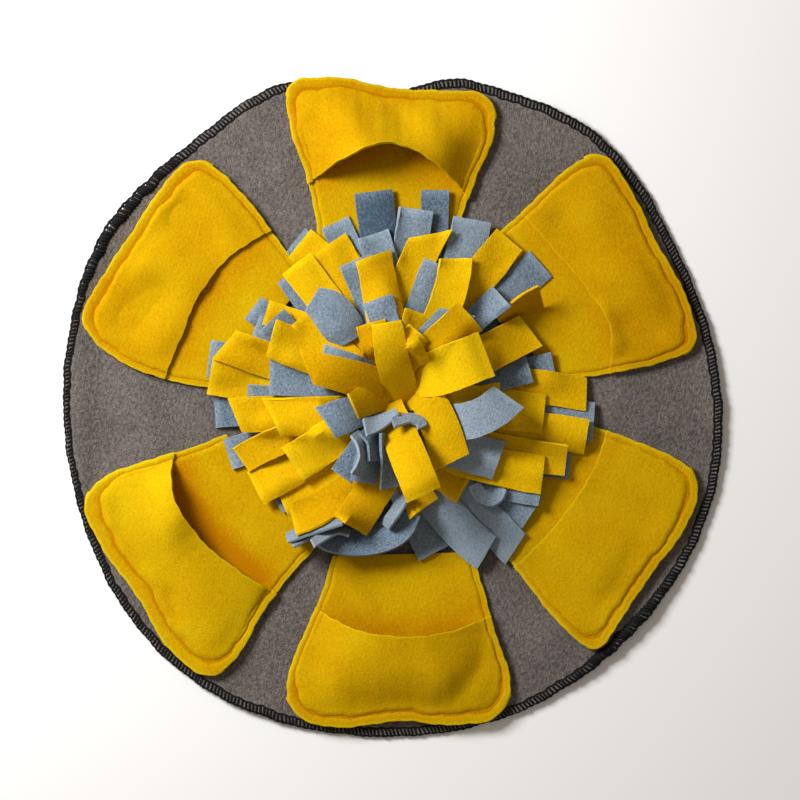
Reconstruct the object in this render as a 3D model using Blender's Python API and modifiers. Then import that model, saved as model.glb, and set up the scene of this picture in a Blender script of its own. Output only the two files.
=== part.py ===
"""Round snuffle mat: a fleece base, six open pockets set around it like petals, and a mop of
square-cut fleece strips whose roots are gathered into one knot in the middle.

Lengths below are millimetres. The origin is the middle of the base, on the surface that the mat
lies on. +X is to the right, +Y away from the viewer and +Z up.
"""
import math
from collections import namedtuple

import bmesh
import bpy
import numpy as np
from mathutils import Vector

MM = 0.001

# Cloth
BASE_RADIUS = 227.0          # mean radius of the round base
BASE_THICKNESS = 3.0
PANEL_THICKNESS = 2.0        # the pockets' back panels and flaps
STRIP_THICKNESS = 1.5
LAYER_GAP = 0.35             # air left between two pieces that lie on each other

# Base
RIM_STEPS = 72
RING_FRACTIONS = (0.3, 0.6, 0.82, 0.92, 0.97, 1.0)
RIM_CURL_START = 196.0       # the rim lifts off the surface outside this radius

# Pockets
INNER_OUT = 100.0            # where the back panels start, under the strips
SEAM_WIDTH = 7.0             # raw edge to stitch line
COLUMNS = 10                 # faces across a pocket
PANEL_ROWS = 5
FLAP_ROWS = 8

# Strips
KNOT = Vector((2.0, 4.0))    # where the strips come together
ROOT_SPREAD = 9.0            # how far from the knot's middle a root may start
FLARE = 42.0                 # gathered roots reach their full width this far out
SEGMENTS = 7                 # faces along a strip
STRIP_GAP = 0.4
EASINGS = 8
SINKING = 0.25
MERGE_DISTANCE = 0.01        # corners closer than this become one where strips cross
MAP_REACH = 180.0
MAP_CELL = 2.0

Wave = namedtuple("Wave", "azimuth amount spread")

# How far the rim stands out of the mean circle, and where it curls up off the surface
RIM_WAVES = (
    Wave(56, 7.0, 15), Wave(76, 3.5, 6), Wave(93, -15.0, 7), Wave(109, 8.0, 8),
    Wave(13, -3.0, 16), Wave(150, 4.0, 9), Wave(190, -2.5, 14), Wave(230, 4.5, 16),
    Wave(272, -2.0, 14), Wave(312, -2.0, 14), Wave(344, 1.5, 12), Wave(30, -4.0, 10),
    Wave(71, -3.5, 6),
)
RIM_CURLS = (
    Wave(93, 5.0, 9), Wave(146, 4.0, 14), Wave(178, 2.5, 12), Wave(245, 2.0, 8),
    Wave(316, 4.0, 12), Wave(2, 2.5, 12), Wave(62, 2.5, 9),
)

# A pocket in its own directions: out from the mat's middle along its bearing, and to its left.
# sides: half widths at the distances SIDE_OUTS. end, mouth: distances out, from left to right.
SIDE_OUTS = (100, 130, 160, 185, 205)
Pocket = namedtuple("Pocket", "name bearing left right end mouth corners mouth_rise belly_rise lean")
POCKETS = (
    Pocket("top", 89.2, (50, 54, 61, 70, 74), (42, 45, 55, 65, 66.5),
           (222, 223.5, 217, 215.5, 216), (152, 168, 178, 165, 143), (11, 18), 33, 17, 0.05),
    Pocket("upper_left", 142.9, (60, 75, 84.5, 86, 80), (34, 43, 51.5, 56, 56.5),
           (207, 211, 213, 215, 213), (136, 144, 151.5, 150, 139), (9, 16), 9, 10, -0.1),
    Pocket("lower_left", 218.7, (41, 46, 54, 64.5, 67), (56, 66, 78, 85, 81),
           (215, 221, 215.5, 214, 207), (141, 151, 157, 153.5, 136), (14, 10), 21, 14, 0.1),
    Pocket("bottom", 271.6, (51, 59, 66, 74, 72), (43, 53, 67, 76, 74),
           (213, 216.5, 212.5, 216, 211), (144, 153.5, 155, 149, 135), (16, 16), 17, 15, 0.0),
    Pocket("lower_right", 327.7, (55, 63.5, 69.5, 73, 69), (38, 47, 58, 65, 66),
           (206, 211.5, 209, 208, 208), (132, 138, 138, 134.5, 128), (13, 10), 8, 9, 0.0),
    Pocket("upper_right", 34.0, (50, 58, 62, 67, 67), (45, 60, 72.5, 80, 82),
           (217, 216.5, 211, 208, 197), (147, 151, 155, 153, 136), (14, 12), 10, 10, -0.15),
)

# A strip is placed by the middle of its tip and the way the tip points, in degrees.
# cut: how far its end is off square. roll: how far it leans over at the tip.
# run: the length that lies straight before the tip, where the strip bends round to the knot.
Strip = namedtuple("Strip", "colour x y heading width cut roll run", defaults=(0, 0, 0))
# A tier is the strips that lie at one level: the height of their roots on the knot, how high
# they arch on the way out, how far the tips stay off what is below, the gathered width, and the
# radius inside which the gathered roots cross each other.
Tier = namedtuple("Tier", "root_height arch tip_rise root_width gather strips")

BLUE, YELLOW = "blue", "yellow"
TIERS = (
    Tier(5, 1, 0.3, 8, 40, (
        Strip(BLUE, -13, 147, 97, 25),
        Strip(BLUE, 29, 148, 90, 19),
        Strip(BLUE, -125, 33, 173, 25),
        Strip(BLUE, -95, 68, 143, 19),
        Strip(BLUE, -93, 55, 160, 18, 0, 35),
        Strip(BLUE, -66, 114, 141, 20),
        Strip(BLUE, -39, 126, 115, 21),
        Strip(BLUE, 137, -10, -4, 26),
        Strip(BLUE, 121, -39, -5, 20),
        Strip(BLUE, -121, -2, 184, 24),
        Strip(BLUE, -112, -32, 198, 22),
        Strip(BLUE, 95, -72, -33, 24),
        Strip(BLUE, 29, -99, -63, 24),
        Strip(BLUE, 101, 98, 41, 23),
        Strip(BLUE, 110, 27, 12, 22),
        Strip(BLUE, 101, -54, -8, 26),
        Strip(BLUE, -80, -64, 215, 20),
        Strip(BLUE, -69, -91, 207, 20, 0, 60),
        Strip(BLUE, -46, -90, 190, 24, 0, -40, 42),
    )),
    Tier(8, 2, 0.8, 8, 40, (
        Strip(BLUE, 16, 135, 82, 24),
        Strip(BLUE, 54, 128, 80, 26),
        Strip(BLUE, -13, 118, 108, 22),
        Strip(YELLOW, -124, 22, 170, 26),
        Strip(YELLOW, -114, 43, 160, 24, -20),
        Strip(YELLOW, 132, -20, -9, 22),
        Strip(YELLOW, 132, 9, -10, 23, 8),
        Strip(YELLOW, 118, -36, -7, 22),
        Strip(YELLOW, 80, 114, 50, 24),
        Strip(YELLOW, -63, 112, 141, 23),
        Strip(YELLOW, 100, 73, 25, 24, 0, 35),
        Strip(BLUE, 84, -96, -45, 24, 13),
        Strip(YELLOW, -75, -65, 203, 24),
        Strip(YELLOW, -68, -76, 197, 22),
        Strip(YELLOW, -93, -55, 209, 24),
    )),
    Tier(12, 3, 1.5, 9, 40, (
        Strip(YELLOW, -43, 111, 125, 26),
        Strip(BLUE, -68, 92, 126, 24),
        Strip(YELLOW, -65, 98, 127, 23),
        Strip(YELLOW, -86, 64, 165, 18, 0, 20),
        Strip(BLUE, -82, 59, 133, 21),
        Strip(BLUE, -99, 4, 176, 24),
        Strip(BLUE, -86, -19, 190, 20),
        Strip(YELLOW, -107, -5, 183, 23, 20),
        Strip(YELLOW, -103, -36, 215, 20, 0, 0, 28),
        Strip(YELLOW, 103, -4, -6, 26),
        Strip(BLUE, 93, 27, 16, 20),
        Strip(BLUE, 74, 76, 42, 18),
        Strip(YELLOW, 26, 118, 62, 24, 38),
        Strip(BLUE, 33, 97, 68, 24),
        Strip(BLUE, 64, -99, -38, 25, 8, 0, 58),
        Strip(YELLOW, 49, -55, -30, 22),
        Strip(YELLOW, 22, -68, -60, 22, 7),
        Strip(YELLOW, 102, -46, -7, 26),
    )),
    Tier(17, 5, 2.5, 11, 40, (
        Strip(BLUE, -25, 100, 114, 24),
        Strip(YELLOW, -13, 103, 101, 23, 9),
        Strip(YELLOW, 43, 101, 76, 23, 9),
        Strip(YELLOW, 94, 52, 27, 26, 10),
        Strip(BLUE, -83, 21, 178, 25),
        Strip(YELLOW, -82, 47, 158, 24, 7),
        Strip(YELLOW, -82, -6, 182, 25, 26),
        Strip(YELLOW, 73, 4, 3, 24),
        Strip(BLUE, 72, -36, -14, 26, -7),
        Strip(BLUE, -5, -79, 240, 20, 0, 55),
        Strip(YELLOW, -29, -80, 233, 24, 6),
        Strip(YELLOW, -60, 63, 133, 22),
        Strip(YELLOW, 18, 64, 73, 20),
        Strip(YELLOW, -50, -5, 182, 25),
        Strip(YELLOW, -68, -38, 212, 26),
    )),
    Tier(22, 6, 3, 14, 38, (
        Strip(BLUE, -48, 72, 127, 28),
        Strip(BLUE, -10, 73, 110, 20),
        Strip(BLUE, -48, 33, 163, 20),
        Strip(YELLOW, -57, 28, 168, 23, -13),
        Strip(YELLOW, 52, 62, 42, 24),
        Strip(YELLOW, 63, 36, 21, 32),
        Strip(YELLOW, -15, 57, 105, 20),
        Strip(YELLOW, 17, 51, 50, 16),
        Strip(YELLOW, 21, 40, 35, 15),
        Strip(YELLOW, 35, 9, 5, 20),
        Strip(BLUE, 78, 7, 45, 25, 10, 0, 42),
        Strip(YELLOW, 40, -37, -71, 24, 13),
        Strip(BLUE, -45, -10, 200, 23, 15),
        Strip(BLUE, -34, -46, 235, 16),
        Strip(BLUE, -20, -50, 258, 16),
        Strip(BLUE, -1, -50, 278, 16),
    )),
    Tier(29, 8, 4, 20, 34, (
        Strip(YELLOW, -26, 3, 197, 24),
        Strip(YELLOW, -5, 57, 100, 25),
        Strip(YELLOW, 21, -58, -68, 24, 4),
        Strip(BLUE, -19, -14, 198, 16, 0, 35),
        Strip(BLUE, 16, -8, -15, 14, 0, 35),
    )),
)

# The knot's outline from its crown down to its foot: radius and height
KNOT_PROFILE = ((0, 37), (7, 36), (12, 32), (15, 25), (16, 14), (17, 7), (17, 3.4), (0, 3.4))
KNOT_SIDES = 20

YELLOW_FLEECE = (0.86, 0.56, 0.01)
GREY_FLEECE = (0.16, 0.14, 0.13)
MIXED_FLEECE = (0.55, 0.42, 0.12)
FLEECE_ROUGHNESS = 0.95


# ---------------------------------------------------------------- helpers

def clear_scene():
    for item in list(bpy.data.objects):
        bpy.data.objects.remove(item, do_unlink=True)


def new_collection(name):
    collection = bpy.data.collections.new(name)
    bpy.context.scene.collection.children.link(collection)
    return collection


def fleece(name, colour):
    material = bpy.data.materials.new(name)
    material.use_nodes = True
    shader = material.node_tree.nodes["Principled BSDF"]
    shader.inputs["Base Color"].default_value = (*colour, 1.0)
    shader.inputs["Roughness"].default_value = FLEECE_ROUGHNESS
    shader.inputs["Metallic"].default_value = 0.0
    return material


def smooth_step(value):
    value = min(max(value, 0.0), 1.0)
    return value * value * (3.0 - 2.0 * value)


def through(stations, values, at):
    """A smooth curve through the values, read at one place; it is level past its ends."""
    if at <= stations[0]:
        return values[0]
    if at >= stations[-1]:
        return values[-1]
    k = max(i for i in range(len(stations) - 1) if stations[i] <= at)
    step = stations[k + 1] - stations[k]
    t = (at - stations[k]) / step

    def slope(i):
        low, high = max(i - 1, 0), min(i + 1, len(stations) - 1)
        return (values[high] - values[low]) / (stations[high] - stations[low]) * step

    return ((2 * t ** 3 - 3 * t ** 2 + 1) * values[k] + (t ** 3 - 2 * t ** 2 + t) * slope(k)
            + (3 * t ** 2 - 2 * t ** 3) * values[k + 1] + (t ** 3 - t ** 2) * slope(k + 1))


def wave_sum(waves, azimuth):
    """The sum of the bell-shaped waves at an azimuth in degrees."""
    total = 0.0
    for wave in waves:
        away = (azimuth - wave.azimuth + 180.0) % 360.0 - 180.0
        total += wave.amount * math.exp(-0.5 * (away / wave.spread) ** 2)
    return total


def cloth(name, rows, thickness, material, collection, faces=None, even=True):
    """A sheet of cloth: the rows of points are its underside, thickened upwards."""
    points = [Vector(point) * MM for row in rows for point in row]
    width = len(rows[0])
    if faces is None:
        faces = [(r * width + c, r * width + c + 1, (r + 1) * width + c + 1, (r + 1) * width + c)
                 for r in range(len(rows) - 1) for c in range(width - 1)]
    mesh = bpy.data.meshes.new(name)
    mesh.from_pydata(points, [], faces)
    mesh.materials.append(material)
    sheet = bpy.data.objects.new(name, mesh)
    collection.objects.link(sheet)
    solidify = sheet.modifiers.new("Thickness", "SOLIDIFY")
    solidify.thickness = thickness * MM
    solidify.offset = 1.0
    solidify.use_even_offset = even
    mesh.shade_smooth()
    mesh.set_sharp_from_angle(angle=math.radians(50))
    return sheet


# ---------------------------------------------------------------- base

def rim_radius(azimuth):
    return BASE_RADIUS + wave_sum(RIM_WAVES, azimuth)


def base_lift(x, y):
    """How far the base's rim has curled up off the surface at a place."""
    radius = math.hypot(x, y)
    if radius <= RIM_CURL_START:
        return 0.0
    along = (radius - RIM_CURL_START) / (BASE_RADIUS - RIM_CURL_START)
    return wave_sum(RIM_CURLS, math.degrees(math.atan2(y, x))) * min(along, 1.2) ** 2


def make_base(material, collection):
    rings = [[(0.0, 0.0, 0.0)] * RIM_STEPS]
    for fraction in RING_FRACTIONS:
        ring = []
        for step in range(RIM_STEPS):
            azimuth = 360.0 * step / RIM_STEPS
            radius = rim_radius(azimuth) * fraction
            x = radius * math.cos(math.radians(azimuth))
            y = radius * math.sin(math.radians(azimuth))
            ring.append((x, y, base_lift(x, y)))
        rings.append(ring)
    faces = []
    for k in range(1, len(rings)):
        for step in range(RIM_STEPS):
            beside = (step + 1) % RIM_STEPS
            inner, outer = (k - 1) * RIM_STEPS, k * RIM_STEPS
            if k == 1:
                faces.append((0, outer + step, outer + beside))
            else:
                faces.append((inner + step, outer + step, outer + beside, inner + beside))
    base = cloth("base", rings, BASE_THICKNESS, material, collection, faces)
    loose = bmesh.new()
    loose.from_mesh(base.data)
    bmesh.ops.delete(loose, geom=[v for v in loose.verts if not v.link_faces], context="VERTS")
    loose.to_mesh(base.data)
    loose.free()
    return base


# ---------------------------------------------------------------- pockets

ACROSS = (-1.0, -0.5, 0.0, 0.5, 1.0)


def side_width(pocket, out, across):
    """The distance to the left of the bearing, across from -1 (right) to 1 (left)."""
    left = through(SIDE_OUTS, pocket.left, out)
    right = through(SIDE_OUTS, pocket.right, out)
    return (left - right) / 2 + across * (left + right) / 2


def end_out(pocket, across):
    """Where the outer end lies, with its two corners rounded."""
    out = through(ACROSS, pocket.end[::-1], across)
    corner = pocket.corners[0] if across > 0 else pocket.corners[1]
    half = (pocket.left[-1] + pocket.right[-1]) / 2
    into = (abs(across) * half - (half - corner)) / corner
    if into > 0:
        out -= corner * (1 - math.sqrt(max(1 - into * into, 0.0)))
    return out


def pocket_point(pocket, across, along, start):
    """Plan place on a pocket piece that begins at start(across): x, y and distance to the seam."""
    first = start(across)
    last = end_out(pocket, across)
    out = first + (last - first) * along
    left = side_width(pocket, out, across)
    half = (side_width(pocket, out, 1) - side_width(pocket, out, -1)) / 2
    to_side = max((1 - abs(across)) * half, 1e-3)
    to_end = max((1 - along) * (last - first), 1e-3)
    to_seam = (to_side ** -3 + to_end ** -3) ** (-1 / 3)
    bearing = math.radians(pocket.bearing)
    x = out * math.cos(bearing) - left * math.sin(bearing)
    y = out * math.sin(bearing) + left * math.cos(bearing)
    return x, y, to_seam, half


def inner_start(_across):
    return INNER_OUT


def mouth_start(pocket):
    return lambda across: through(ACROSS, pocket.mouth[::-1], across)


def panel_height(x, y):
    return BASE_THICKNESS + LAYER_GAP + base_lift(x, y)


def flap_rise(pocket, across, along, to_seam, half):
    """How far the flap stands off the back panel: nothing at the seam, most at the mouth."""
    inside = max(to_seam - SEAM_WIDTH, 0.0)
    lean = pocket.lean * (1 - across * across)
    arch = math.sin(math.pi / 2 * min(inside / (half - SEAM_WIDTH), 1.0)) * (1 + lean * across)
    belly = smooth_step(inside / 30.0)
    mouth_share = (1 - along) ** 1.6
    return pocket.mouth_rise * arch * mouth_share + pocket.belly_rise * belly * (1 - mouth_share)


def flap_height(pocket, x, y, across, along, to_seam, half):
    lying = panel_height(x, y) + PANEL_THICKNESS + LAYER_GAP
    return lying + flap_rise(pocket, across, along, to_seam, half)


def spaced(count):
    """Places from -1 to 1, closer together towards both ends."""
    return [math.sin(math.pi / 2 * (2 * k / count - 1)) for k in range(count + 1)]


def panel_rows(pocket, columns, rows):
    """Underside of the back panel, as rows of points from its inner end outwards."""
    grid = []
    for r in range(rows + 1):
        along = math.sin(math.pi / 2 * r / rows)
        row = []
        for across in spaced(columns):
            x, y, _seam, _half = pocket_point(pocket, across, along, inner_start)
            row.append((x, y, panel_height(x, y)))
        grid.append(row)
    return grid


def flap_rows(pocket, columns, rows):
    """Underside of the flap, as rows of points from its mouth outwards."""
    start = mouth_start(pocket)
    grid = []
    for r in range(rows + 1):
        along = math.sin(math.pi / 2 * r / rows)
        row = []
        for across in spaced(columns):
            x, y, to_seam, half = pocket_point(pocket, across, along, start)
            row.append((x, y, flap_height(pocket, x, y, across, along, to_seam, half)))
        grid.append(row)
    return grid


def facing_up(rows):
    """The points go from right to left, so each row is turned for the faces to look up."""
    return [row[::-1] for row in rows]


def make_pocket(pocket, material, collection):
    panel = panel_rows(pocket, COLUMNS, PANEL_ROWS)
    flap = flap_rows(pocket, COLUMNS, FLAP_ROWS)
    cloth(f"pocket_back_{pocket.name}", facing_up(panel), PANEL_THICKNESS, material, collection)
    cloth(f"pocket_flap_{pocket.name}", facing_up(flap), PANEL_THICKNESS, material, collection)


# ---------------------------------------------------------------- strips

class HeightMap:
    """The top of all that has been laid so far, on a square grid."""

    def __init__(self):
        self.middle = int(MAP_REACH / MAP_CELL)
        self.top = np.full((2 * self.middle + 1,) * 2, BASE_THICKNESS)

    def cell(self, value):
        return int(round(value / MAP_CELL)) + self.middle

    def lay(self, x, y, z):
        i, j = self.cell(x), self.cell(y)
        if 0 <= i < len(self.top) and 0 <= j < len(self.top):
            self.top[i, j] = max(self.top[i, j], z)

    def under(self, x, y, gather):
        """The top at a place; among the gathered roots nothing counts."""
        if math.hypot(x - KNOT.x, y - KNOT.y) < gather:
            return 0.0
        return self.top[self.cell(x), self.cell(y)]


def lay_pockets(heights, fineness=90):
    """The pockets count as a little wider than they are, so that no strip touches their edges."""
    for pocket in POCKETS:
        for rows in (panel_rows(pocket, fineness, fineness), flap_rows(pocket, fineness, fineness)):
            for row in rows:
                for x, y, z in row:
                    for east, north in ((0, 0), (1, 0), (-1, 0), (0, 1), (0, -1)):
                        heights.lay(x + east * MAP_CELL, y + north * MAP_CELL, z + PANEL_THICKNESS)


def strip_plan(strip, tier):
    """Seen from above: each station's left and right edge, and how far leaning lifts one edge."""
    tip = Vector((strip.x, strip.y))
    aim = Vector((math.cos(math.radians(strip.heading)), math.sin(math.radians(strip.heading))))
    reach = (tip - KNOT).dot(aim)
    run = strip.run or 0.6 * reach
    bend = tip - aim * run
    aside = bend - KNOT if strip.run else tip - aim * reach - KNOT
    root = KNOT + aside.normalized() * min(aside.length, ROOT_SPREAD)
    length = (bend - root).length + run
    plan = []
    for k in range(SEGMENTS + 1):
        t = k / SEGMENTS
        middle = root * (1 - t) ** 2 + bend * 2 * t * (1 - t) + tip * t * t
        ahead = ((bend - root) * (1 - t) + (tip - bend) * t).normalized()
        left = Vector((-ahead.y, ahead.x))
        flare = smooth_step(t * length / FLARE)
        width = tier.root_width + (strip.width - tier.root_width) * flare
        lean = math.radians(strip.roll) * smooth_step((t - 0.3) / 0.6)
        skew = math.tan(math.radians(strip.cut)) * width / 2 if k == SEGMENTS else 0.0
        half = width / 2 * math.cos(lean)
        plan.append((middle + left * half - ahead * skew, middle - left * half + ahead * skew,
                     width * math.sin(lean)))
    return plan


def floors_below(heights, plan, gather):
    """Places under a strip: station, part of the way on, part of the way across, and floor."""
    floors = []
    for k in range(SEGMENTS):
        for part in (0.0, 0.25, 0.5, 0.75, 1.0):
            left = plan[k][0].lerp(plan[k + 1][0], part)
            right = plan[k][1].lerp(plan[k + 1][1], part)
            for share in np.linspace(0, 1, 9):
                place = left.lerp(right, share)
                floor = heights.under(place.x, place.y, gather)
                if floor > 0:
                    floors.append((k, part, share, floor + STRIP_GAP))
    return floors


def press_up(left, right, floors):
    """Lifts a strip's two edges just enough for it to clear every place below it."""
    for k, part, share, floor in floors:
        weights = ((1 - part) * (1 - share), (1 - part) * share, part * (1 - share), part * share)
        height = (left[k] * weights[0] + right[k] * weights[1]
                  + left[k + 1] * weights[2] + right[k + 1] * weights[3])
        if height < floor:
            short = (floor - height) / sum(weight * weight for weight in weights)
            left[k] += short * weights[0]
            right[k] += short * weights[1]
            left[k + 1] += short * weights[2]
            right[k + 1] += short * weights[3]


def ease_edges(left, right, free):
    """Smooths both edges along the strip and lets them sink back towards its free line."""
    for edge in (left, right):
        edge[1:-1] = 0.7 * edge[1:-1] + 0.15 * (edge[:-2] + edge[2:])
        edge += SINKING * (free - edge)


def lay_strip(heights, strip, tier, number):
    """The left and right edges of a strip on what lies below it; the map then holds it too."""
    plan = strip_plan(strip, tier)
    floors = floors_below(heights, plan, tier.gather)
    liveliness = 1 + 0.4 * math.sin(2.4 * number)
    tip = max([floor for k, _, _, floor in floors if k == SEGMENTS - 1], default=tier.root_height)
    tip += tier.tip_rise * liveliness
    free = [tier.root_height + (tip - tier.root_height) * smooth_step(k / SEGMENTS)
            + tier.arch * liveliness * math.sin(math.pi * k / SEGMENTS) for k in range(SEGMENTS + 1)]
    free = np.array(free)
    left, right = free.copy(), free.copy()
    for _ in range(EASINGS):
        press_up(left, right, floors)
        ease_edges(left, right, free)
    press_up(left, right, floors)
    press_up(left, right, floors)
    edges = [[], []]
    for k, (left_place, right_place, lean_rise) in enumerate(plan):
        edges[0].append(Vector((*left_place, left[k] + max(lean_rise, 0.0))))
        edges[1].append(Vector((*right_place, right[k] + max(-lean_rise, 0.0))))
    for k in range(SEGMENTS):
        for part in np.linspace(0, 1, 8):
            near = edges[0][k].lerp(edges[0][k + 1], part)
            far = edges[1][k].lerp(edges[1][k + 1], part)
            for share in np.linspace(0, 1, 14):
                x, y, z = near.lerp(far, share)
                heights.lay(x, y, z + STRIP_THICKNESS)
    return edges


def lay_all_strips():
    heights = HeightMap()
    lay_pockets(heights)
    laid = []
    for tier in TIERS:
        for strip in tier.strips:
            laid.append(lay_strip(heights, strip, tier, len(laid)))
    return laid


def make_knot(material, collection):
    """A turned bunch: the profile runs down its outer side and is swept round the knot."""
    points = [(radius * MM, 0.0, height * MM) for radius, height in KNOT_PROFILE]
    mesh = bpy.data.meshes.new("knot")
    mesh.from_pydata(points, [(k, k + 1) for k in range(len(points) - 1)], [])
    mesh.materials.append(material)
    knot = bpy.data.objects.new("knot", mesh)
    collection.objects.link(knot)
    knot.location = (KNOT.x * MM, KNOT.y * MM, 0.0)
    screw = knot.modifiers.new("Turn", "SCREW")
    screw.axis = "Z"
    screw.steps = KNOT_SIDES
    screw.render_steps = KNOT_SIDES
    screw.use_merge_vertices = True
    screw.merge_threshold = 0.00001
    return knot


def make_tuft(material, collection, cutters):
    points, faces = [], []
    for left_edge, right_edge in lay_all_strips():
        for k, (left, right) in enumerate(zip(left_edge, right_edge)):
            points += [right, left]
            if k:
                last = len(points)
                faces.append((last - 4, last - 2, last - 1, last - 3))
    strips = cloth("strips", [points], STRIP_THICKNESS, material, cutters, faces, even=False)
    strips.hide_render = True
    strips.display_type = "WIRE"
    knot = make_knot(material, cutters)
    fuse = knot.modifiers.new("Roots", "BOOLEAN")
    fuse.operation = "UNION"
    fuse.solver = "EXACT"
    fuse.object = strips
    fuse.use_self = True
    fused = bpy.data.meshes.new_from_object(knot.evaluated_get(bpy.context.evaluated_depsgraph_get()))
    keep_outer_body(fused)
    tuft = bpy.data.objects.new("tuft", fused)
    tuft.matrix_world = knot.matrix_world
    collection.objects.link(tuft)
    bpy.data.objects.remove(knot, do_unlink=True)
    return tuft


def keep_outer_body(mesh):
    """Fills the sealed gaps among the gathered roots, by leaving out their walls."""
    body = bmesh.new()
    body.from_mesh(mesh)
    bmesh.ops.dissolve_degenerate(body, dist=MERGE_DISTANCE * MM, edges=body.edges)
    bmesh.ops.triangulate(body, faces=body.faces)
    unseen = set(body.faces)
    shells = []
    while unseen:
        front = [unseen.pop()]
        shell = set(front)
        while front:
            for edge in front.pop().edges:
                for face in edge.link_faces if len(edge.link_faces) == 2 else ():
                    if face in unseen:
                        unseen.remove(face)
                        shell.add(face)
                        front.append(face)
        shells.append(shell)
    outer = max(shells, key=len)
    inner = [face for shell in shells if shell is not outer for face in shell]
    bmesh.ops.delete(body, geom=inner, context="FACES")
    body.to_mesh(mesh)
    body.free()


# ---------------------------------------------------------------- the whole mat

def main():
    clear_scene()
    parts = new_collection("snuffle_mat")
    cutters = new_collection("cutters")
    make_base(fleece("grey_fleece", GREY_FLEECE), parts)
    for pocket in POCKETS:
        make_pocket(pocket, fleece(f"yellow_fleece_{pocket.name}", YELLOW_FLEECE), parts)
    make_tuft(fleece("mixed_fleece", MIXED_FLEECE), parts, cutters)


main()
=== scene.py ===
# %% [markdown]
# # A snuffle mat of fleece
#
# The real mat is a round of grey fleece with an overlocked edge. Six yellow pockets are sewn on
# it like petals, and a mop of cut fleece strips is gathered in the middle. A dog searches it
# with its nose.
#
# The construction already exists as plain solids. This lesson loads them as a fixed frame and
# dresses each one in fine cloth that follows the same folds.

# %% Load the frame
import math
from collections import namedtuple

import bpy
import numpy as np
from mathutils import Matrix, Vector


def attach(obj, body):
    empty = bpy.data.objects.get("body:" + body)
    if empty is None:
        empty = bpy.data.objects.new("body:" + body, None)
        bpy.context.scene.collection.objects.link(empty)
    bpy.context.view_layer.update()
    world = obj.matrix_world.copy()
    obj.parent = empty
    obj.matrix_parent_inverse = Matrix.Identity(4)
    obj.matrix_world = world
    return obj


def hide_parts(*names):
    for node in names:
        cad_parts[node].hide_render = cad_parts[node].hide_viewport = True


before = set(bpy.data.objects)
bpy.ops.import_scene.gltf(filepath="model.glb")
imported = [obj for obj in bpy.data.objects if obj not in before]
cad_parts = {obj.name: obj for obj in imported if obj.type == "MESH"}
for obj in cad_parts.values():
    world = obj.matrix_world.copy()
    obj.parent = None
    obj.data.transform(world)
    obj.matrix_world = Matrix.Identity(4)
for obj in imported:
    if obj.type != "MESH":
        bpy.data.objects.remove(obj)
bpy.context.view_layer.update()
MM = 0.001
print("nodes:", ", ".join(sorted(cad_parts)))

# %% [markdown]
# ## Camera
#
# The mat is seen from straight above. A camera close to the mat would make the high middle look
# larger than the flat rim, so it stands well back with a long lens. A pixel is then the same
# length all over the mat, and places can be read from the picture in millimetres.

# %% Camera from above
PICTURE_PIXELS = 800
PIXEL_LENGTH = 0.683 * MM
ORIGIN_PIXEL = (392.5, 407.5)
CAMERA_HEIGHT = 2.8
SENSOR_WIDTH = 36.0

scene = bpy.context.scene
camera = bpy.data.objects.new("camera", bpy.data.cameras.new("camera"))
scene.collection.objects.link(camera)
camera.data.sensor_width = SENSOR_WIDTH
camera.data.lens = SENSOR_WIDTH * CAMERA_HEIGHT / (PICTURE_PIXELS * PIXEL_LENGTH)
camera.location = ((PICTURE_PIXELS / 2 - ORIGIN_PIXEL[0]) * PIXEL_LENGTH,
                   (ORIGIN_PIXEL[1] - PICTURE_PIXELS / 2) * PIXEL_LENGTH, CAMERA_HEIGHT)
scene.camera = camera
print(f"lens {camera.data.lens:.0f} mm")

# %% [markdown]
# ## Light and floor
#
# One large soft lamp stands high on the left, as a window does, so that each strip throws a
# short soft shadow to its right. The world lights the rest evenly. The floor is pale and plain.

# %% Lamp, world and floor
KEY_PLACE = Vector((-0.86, 0.58, 0.84))
KEY_SIZE = 0.45
KEY_POWER = 24.0
WORLD_STRENGTH = 0.27
WORLD_COLOUR = (1.0, 0.9, 0.78)
FLOOR_COLOUR = (0.95, 0.95, 0.95)
FLOOR_ROUGHNESS = 0.8
FLOOR_REACH = 3
FLOOR_GAP = 0.4 * MM


def set_inputs(node, values):
    for socket, value in values.items():
        node.inputs[socket].default_value = value


def new_material(name):
    material = bpy.data.materials.new(name)
    material.use_nodes = True
    return material, material.node_tree, material.node_tree.nodes["Principled BSDF"]


window = bpy.data.objects.new("window", bpy.data.lights.new("window", "AREA"))
scene.collection.objects.link(window)
window.data.size = KEY_SIZE
window.data.energy = KEY_POWER
window.location = KEY_PLACE
window.rotation_euler = (-KEY_PLACE).to_track_quat("-Z", "Y").to_euler()
world = bpy.data.worlds.new("room")
world.use_nodes = True
set_inputs(world.node_tree.nodes["Background"],
           {"Color": (*WORLD_COLOUR, 1.0), "Strength": WORLD_STRENGTH})
scene.world = world
scene.view_settings.view_transform = "Standard"

floor_mesh = bpy.data.meshes.new("floor")
floor_corners = [(x * FLOOR_REACH, y * FLOOR_REACH, 0)
                 for x, y in ((-1, -1), (1, -1), (1, 1), (-1, 1))]
floor_mesh.from_pydata(floor_corners, [], [(0, 1, 2, 3)])
floor_material, _, floor_shader = new_material("pale_floor")
set_inputs(floor_shader, {"Base Color": (*FLOOR_COLOUR, 1.0), "Roughness": FLOOR_ROUGHNESS})
floor_mesh.materials.append(floor_material)
floor = bpy.data.objects.new("floor", floor_mesh)
floor.location.z = -FLOOR_GAP
scene.collection.objects.link(floor)
print("lamp, world and floor are set")

# %% [markdown]
# ## The nap of fleece
#
# Fleece is a knit whose loops are brushed up into a short curly pile. Seen close by it is a grain
# of small clumps with lighter fibre tips, and the brushing leaves broad patches a little lighter
# or darker. All four fleeces need that effect, so it is built once as a node group, which puts
# out a shade for the colour and a height for the bump.

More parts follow.
